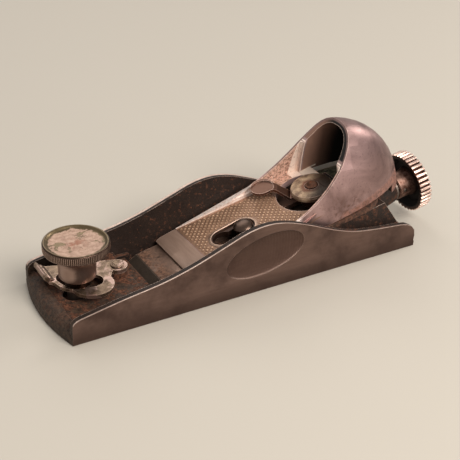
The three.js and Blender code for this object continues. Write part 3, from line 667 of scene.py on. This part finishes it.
def body_of(node):
    """The name of the body that a CAD node belongs to."""
    for name, members in frame["record"]["behaviour"]["bodies"].items():
        if node in members:
            return name
    raise ValueError(node)


def place_mesh(name, mesh, node, material, smooth_angle=30, replaces=True):
    """Adds a mesh in the row frame that rides with a CAD node's body, and may stand for that node."""
    mesh.shade_smooth()
    mesh.set_sharp_from_angle(angle=math.radians(smooth_angle))
    mesh.materials.clear()
    mesh.materials.append(material)
    piece = bpy.data.objects.new(name, mesh)
    bpy.context.scene.collection.objects.link(piece)
    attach(piece, body_of(node))
    if replaces:
        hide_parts(node)
    return piece


def eased(node, material, edge_mm, angle=30):
    """A CAD node's own shape with its sharp edges rounded over."""
    same_place, flat = 2e-6, math.radians(0.4)
    mesh = frame["nodes"][node].data.copy()
    work = bmesh.new()
    work.from_mesh(mesh)
    bmesh.ops.remove_doubles(work, verts=work.verts, dist=same_place)
    bmesh.ops.dissolve_limit(work, angle_limit=flat, verts=work.verts, edges=work.edges)
    work.to_mesh(mesh)
    work.free()
    piece = place_mesh(node + "_eased", mesh, node, material, angle)
    bevel = piece.modifiers.new("eased_edges", "BEVEL")
    bevel.width = edge_mm * MM
    bevel.segments = 2
    bevel.limit_method = "ANGLE"
    bevel.angle_limit = math.radians(angle)
    bevel.harden_normals = True
    bevel.use_clamp_overlap = True


def mesh_from(name, verts, faces):
    """A mesh from places in millimetres, with its faces turned outwards."""
    mesh = bpy.data.meshes.new(name)
    mesh.from_pydata([Vector(v) * MM for v in verts], [], faces)
    work = bmesh.new()
    work.from_mesh(mesh)
    bmesh.ops.recalc_face_normals(work, faces=work.faces)
    work.to_mesh(mesh)
    work.free()
    return mesh


def skin_over(name, rings):
    """A closed skin over rings of equal length: each is joined to the next, and the last to the first."""
    count = len(rings[0])
    verts = [v for ring in rings for v in ring]
    faces = []
    for i in range(len(rings)):
        here, there = i * count, (i + 1) % len(rings) * count
        for j in range(count):
            k = (j + 1) % count
            faces.append((here + j, here + k, there + k, there + j))
    return mesh_from(name, verts, faces)


def on_cap(s, y, p):
    """A place on the lever cap: along its slope, across it, and out of its plate."""
    out = Vector((-CAP_SLOPE.z, 0, CAP_SLOPE.x))
    return Vector((0, y, CAP_ORIGIN_Z)) + s * CAP_SLOPE + p * out


def slot_ring(radius, p, steps=20):
    """The keyhole's outline on the cap, round-ended, with ends of this radius."""
    ring = []
    for end, start in ((SCREW_S, -math.pi / 2), (KEYHOLE_S, math.pi / 2)):
        for i in range(steps + 1):
            a = start + math.pi * i / steps
            ring.append(on_cap(end + radius * math.cos(a), radius * math.sin(a), p))
    return ring


def keyhole_rim(material):
    """The smooth raised border round the keyhole."""
    section = [(0.02, -0.3), (0.06, 0.26), (0.25, 0.42), (0.85, 0.42), (RIM_WIDTH, 0.2), (RIM_WIDTH, -0.3)]
    mesh = skin_over("keyhole_rim", [slot_ring(KEYHOLE_RADIUS + out, p) for out, p in section])
    place_mesh("keyhole_rim", mesh, "lever_cap", material, replaces=False)


def hatch_clear(s, y):
    """Whether a hatch point may stand here: on the plate, off the borders, keyhole and window."""
    narrowing = min(1, max(0, (s - HATCH_FRONT_S) / (HATCH_REAR_S - HATCH_FRONT_S)))
    half = HATCH_FRONT_HALF + (HATCH_REAR_HALF - HATCH_FRONT_HALF) * narrowing
    along = min(max(s, KEYHOLE_S), SCREW_S)
    off_sides = abs(y) < half - 0.7
    off_keyhole = math.hypot(s - along, y) > KEYHOLE_RADIUS + RIM_WIDTH + 0.7
    off_window = math.hypot(s - WINDOW_S, y) > WINDOW_RADIUS + 1.2
    return HATCH_FRONT_S < s < HATCH_END_S and off_sides and off_keyhole and off_window


def hatching(material):
    """Rows of small blunt pyramids, set cornerwise across the plate."""
    columns = math.ceil((HATCH_END_S - HATCH_FRONT_S) / HATCH_PITCH)
    half_rows = math.ceil(HATCH_FRONT_HALF / (2 * HATCH_PITCH))
    verts, faces = [], []
    for i in range(columns):
        for j in range(-half_rows, half_rows + 1):
            s = HATCH_FRONT_S + i * HATCH_PITCH
            y = (2 * j + i % 2) * HATCH_PITCH
            if not hatch_clear(s, y):
                continue
            first = len(verts)
            worn = random.uniform(0.78, 1.0)
            foot, tip = HATCH_PITCH * 0.96, HATCH_PITCH * HATCH_BLUNT * worn
            for reach, p in ((foot, -0.1), (tip, HATCH_HEIGHT * worn)):
                for ds, dy in ((reach, 0), (0, reach), (-reach, 0), (0, -reach)):
                    verts.append(on_cap(s + ds, y + dy, p))
            faces += [(first + 3, first + 2, first + 1, first), tuple(range(first + 4, first + 8))]
            for k in range(4):
                n = (k + 1) % 4
                faces.append((first + k, first + n, first + 4 + n, first + 4 + k))
    mesh = mesh_from("hatching", verts, faces)
    place_mesh("hatching", mesh, "lever_cap", material, 10, replaces=False)


def knurled_knob(material):
    """The knob turned finely, with a knurled band round its head."""
    knurls, depth = 108, 0.24
    groove = (0, 0.55, 1, 0.55)
    count = knurls * len(groove)
    rings = []
    for radius, height in KNOB_PROFILE:
        knurled = KNURL_LOW < height < KNURL_HIGH and radius > KNURL_FLOOR
        ring = []
        for i in range(count):
            r = radius - (depth * groove[i % len(groove)] if knurled else 0)
            a = math.tau * i / count
            ring.append(KNOB_AXIS.xy.to_3d() + Vector((r * math.cos(a), r * math.sin(a), height)))
        rings.append(ring)
    mesh = skin_over("front_knob_knurled", rings)
    place_mesh("front_knob_knurled", mesh, "front_knob", material, 34)


BODY = body_finish()
DULL = steel_finish("dull_steel", "#4f443e", "#8f8279", rust=0.02)
GREEN = greened_finish()
CAM = nickel_finish("cam_nickel", "#64493e", "#846557", rough=(0.42, 0.55))
BORDER = nickel_finish("border_nickel", "#8f7565", "#c3a894", rough=(0.35, 0.5))
SCREW = steel_finish("screw_steel", "#382b25", "#6b584e", rust=-0.05, rough=(0.25, 0.4))
RUSTY = steel_finish("rusty_rivet", "#3a241b", "#7d5b49", rust=0.14)

eased("body_casting", BODY, 0.3)
eased("toe_plate", BODY, 0.2)
eased("feed_slide", DULL, 0.2)
eased("lever_cap", cap_finish(), 0.35, angle=28)
eased("cutter", cutter_finish(), 0.12)
eased("cam_lever", CAM, 0.3)
eased("depth_wheel", wheel_finish(), 0.2, angle=40)
eased("throat_lever", GREEN, 0.3)
eased("throat_lever_rivet", GREEN, 0.1)
knurled_knob(knob_finish())
for plain in ("toe_stud", "feed_dog", "depth_screw", "screw_retaining_pin", "thrust_washer", "wheel_pin"):
    eased(plain, DULL, 0.15)
eased("cap_screw", SCREW, 0.15, angle=40)
eased("cam_rivet", RUSTY, 0.15, angle=40)
keyhole_rim(BORDER)
hatching(hatch_finish())


# ---- Stage ---------------------------------------------------------------------------------------


def floor():
    """A plain pale floor, a hair under the sole."""
    half, gap = 4.0, 0.0002
    corners = [(-half, -half, 0), (half, -half, 0), (half, half, 0), (-half, half, 0)]
    mesh = bpy.data.meshes.new("floor")
    mesh.from_pydata(corners, [], [(0, 1, 2, 3)])
    mesh.materials.append(Coat(Graph("pale_floor"), "#b9b3a9", 0.7, 0.0).done())
    stage = bpy.data.objects.new("floor", mesh)
    bpy.context.scene.collection.objects.link(stage)
    stage.location.z = -gap


def area_light(name, place, aim, size, power, color):
    """A round soft light; its size and places are in metres and its power in watts."""
    data = bpy.data.lights.new(name, "AREA")
    data.shape = "DISK"
    data.size = size
    data.energy = power
    data.color = color
    light = bpy.data.objects.new(name, data)
    bpy.context.scene.collection.objects.link(light)
    light.location = place
    light.rotation_mode = "QUATERNION"
    light.rotation_quaternion = (Vector(aim) - Vector(place)).to_track_quat("-Z", "Y")


def soft_room():
    """A world that is pale all round, and brighter overhead."""
    world = bpy.data.worlds.new("soft_room")
    bpy.context.scene.world = world
    world.use_nodes = True
    nodes, links = world.node_tree.nodes, world.node_tree.links
    background = nodes["Background"]
    place = nodes.new("ShaderNodeTexCoord")
    split = nodes.new("ShaderNodeSeparateXYZ")
    rise = nodes.new("ShaderNodeMapRange")
    rise.inputs["From Min"].default_value = -0.2
    rise.inputs["From Max"].default_value = 0.9
    tone = nodes.new("ShaderNodeMix")
    tone.data_type = "RGBA"
    tone.inputs[6].default_value = (0.62, 0.59, 0.55, 1)
    tone.inputs[7].default_value = (0.95, 0.91, 0.86, 1)
    links.new(place.outputs["Generated"], split.inputs[0])
    links.new(split.outputs["Z"], rise.inputs["Value"])
    links.new(rise.outputs[0], tone.inputs[0])
    links.new(tone.outputs[2], background.inputs["Color"])
    background.inputs["Strength"].default_value = 0.63


def studio():
    """A broad key light at the camera's right, a small low one for glints, and two fills."""
    soft_room()
    area_light("key", (0.20, -0.80, 0.78), (0, 0, 0.02), 0.62, 12.5, (1.0, 0.94, 0.87))
    area_light("low", (0.62, -0.95, 0.16), (0.06, 0, 0.03), 0.10, 0.9, (1.0, 0.95, 0.90))
    area_light("side", (0.90, 0.10, 0.55), (0.05, 0, 0.02), 0.40, 2.8, (1.0, 0.94, 0.88))
    area_light("back", (0.15, 0.95, 0.80), (0, 0, 0.02), 0.80, 3.0, (1.0, 0.95, 0.90))
    bpy.context.scene.view_settings.view_transform = "Standard"


def camera():
    """The photograph's view: where the camera stands, which way it looks and how it is tipped."""
    place = Vector((-0.1990, -0.3268, 0.2371))
    focal_length, sensor = 78.26, 36
    azimuth, elevation, roll = math.radians(-31.38), math.radians(29.90), math.radians(2.20)
    level_back = Vector((math.sin(azimuth), -math.cos(azimuth), 0))
    back = level_back * math.cos(elevation) + Vector((0, 0, math.sin(elevation)))
    level = (-back).cross(Vector((0, 0, 1))).normalized()
    rise = level.cross(-back)
    right = level * math.cos(roll) + rise * math.sin(roll)
    up = rise * math.cos(roll) - level * math.sin(roll)
    data = bpy.data.cameras.new("photo_view")
    data.lens = focal_length
    data.sensor_width = sensor
    view = bpy.data.objects.new("photo_view", data)
    bpy.context.scene.collection.objects.link(view)
    view.matrix_world = Matrix.Translation(place) @ Matrix((right, up, back)).transposed().to_4x4()
    bpy.context.scene.camera = view


floor()
studio()
camera()
